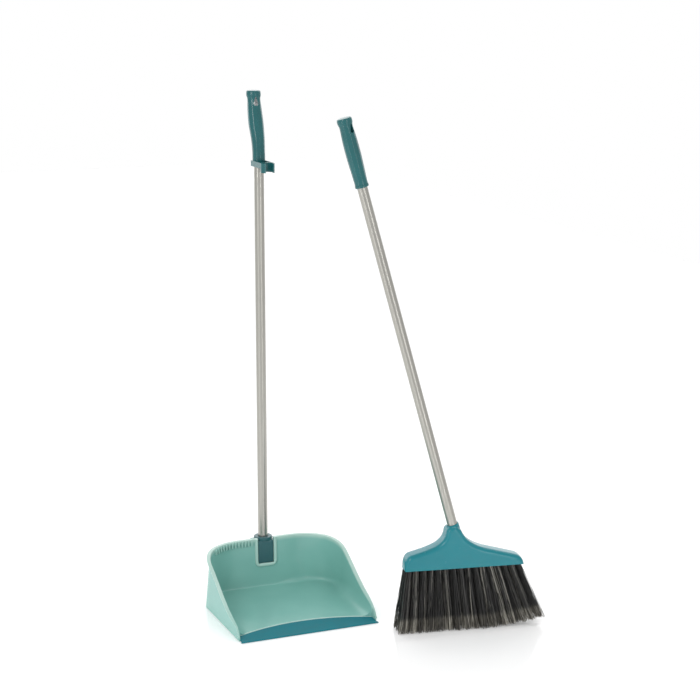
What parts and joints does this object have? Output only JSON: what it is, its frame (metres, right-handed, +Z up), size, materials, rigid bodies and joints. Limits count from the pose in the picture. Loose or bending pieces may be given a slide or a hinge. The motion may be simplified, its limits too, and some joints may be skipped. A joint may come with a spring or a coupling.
{
  "type": "long-handled dust pan and brush set",
  "caption": "Upright dust pan with a rubber lip, comb and steel-tube handle, and its broom with an angled bristle head, tube handle and grip.",
  "frame": {"origin": "centre of the flat underside of the pan's rubber lip, on the floor, 15 mm behind the lip's front edge", "axes": "+Z up along the pan's handle, +X across the pan to the side where the broom stands, -Y out of the pan's mouth"},
  "size_m": [0.5448, 0.408, 0.937],
  "materials": {
    "pan_mint": "glossy moulded polypropylene",
    "lip_teal": "matte soft rubber",
    "connector_slate": "satin moulded plastic",
    "grip_teal": "satin moulded plastic",
    "head_teal": "glossy moulded plastic",
    "tube_steel": "drawn steel tube, fine lengthwise brushing",
    "ferrule_black": "matte moulded plastic",
    "bristle_grey": "fine nylon filament with paler split tips"
  },
  "bodies": {
    "pan": {"pan_shell": "pan_mint", "rubber_lip": "lip_teal"},
    "pan_handle": {"handle_connector": "connector_slate", "pan_tube": "tube_steel", "pan_grip": "grip_teal"},
    "clip": {"broom_clip": "grip_teal"},
    "broom_head": {"broom_head": "head_teal", "tuft_front_01": "bristle_grey", "tuft_front_02": "bristle_grey", "tuft_front_03": "bristle_grey", "tuft_front_04": "bristle_grey", "tuft_front_05": "bristle_grey", "tuft_front_06": "bristle_grey", "tuft_front_07": "bristle_grey", "tuft_front_08": "bristle_grey", "tuft_front_09": "bristle_grey", "tuft_front_10": "bristle_grey", "tuft_front_11": "bristle_grey", "tuft_front_12": "bristle_grey", "tuft_front_13": "bristle_grey", "tuft_front_14": "bristle_grey", "tuft_front_15": "bristle_grey", "tuft_front_16": "bristle_grey", "tuft_middle_01": "bristle_grey", "tuft_middle_02": "bristle_grey", "tuft_middle_03": "bristle_grey", "tuft_middle_04": "bristle_grey", "tuft_middle_05": "bristle_grey", "tuft_middle_06": "bristle_grey", "tuft_middle_07": "bristle_grey", "tuft_middle_08": "bristle_grey", "tuft_middle_09": "bristle_grey", "tuft_middle_10": "bristle_grey", "tuft_middle_11": "bristle_grey", "tuft_middle_12": "bristle_grey", "tuft_middle_13": "bristle_grey", "tuft_middle_14": "bristle_grey", "tuft_middle_15": "bristle_grey", "tuft_middle_16": "bristle_grey", "tuft_rear_01": "bristle_grey", "tuft_rear_02": "bristle_grey", "tuft_rear_03": "bristle_grey", "tuft_rear_04": "bristle_grey", "tuft_rear_05": "bristle_grey", "tuft_rear_06": "bristle_grey", "tuft_rear_07": "bristle_grey", "tuft_rear_08": "bristle_grey", "tuft_rear_09": "bristle_grey", "tuft_rear_10": "bristle_grey", "tuft_rear_11": "bristle_grey", "tuft_rear_12": "bristle_grey", "tuft_rear_13": "bristle_grey", "tuft_rear_14": "bristle_grey", "tuft_rear_15": "bristle_grey", "tuft_rear_16": "bristle_grey"},
    "broom_handle": {"screw_ferrule": "ferrule_black", "broom_tube": "tube_steel", "broom_grip": "grip_teal"}
  },
  "joints": [
    {"name": "handle_pull_out", "type": "slide", "parent": "pan", "child": "pan_handle", "axis": [0, 0, 1], "range_m": [0, 0.052]},
    {"name": "clip_swivel", "type": "hinge", "parent": "pan_handle", "child": "clip", "pos_m": [0, 0.231, 0.8077], "axis": [0, 0, 1], "range_deg": [-90, 90]},
    {"name": "broom_lift", "type": "slide", "parent": "pan", "child": "broom_head", "axis": [0, 0, 1], "range_m": [0, 0.3]},
    {"name": "broom_handle_screw", "type": "hinge", "parent": "broom_head", "child": "broom_handle", "pos_m": [0.2635, -0.085, 0.114], "axis": [-0.2572, 0.0509, 0.965], "range_deg": [0, 1170]}
  ]
}
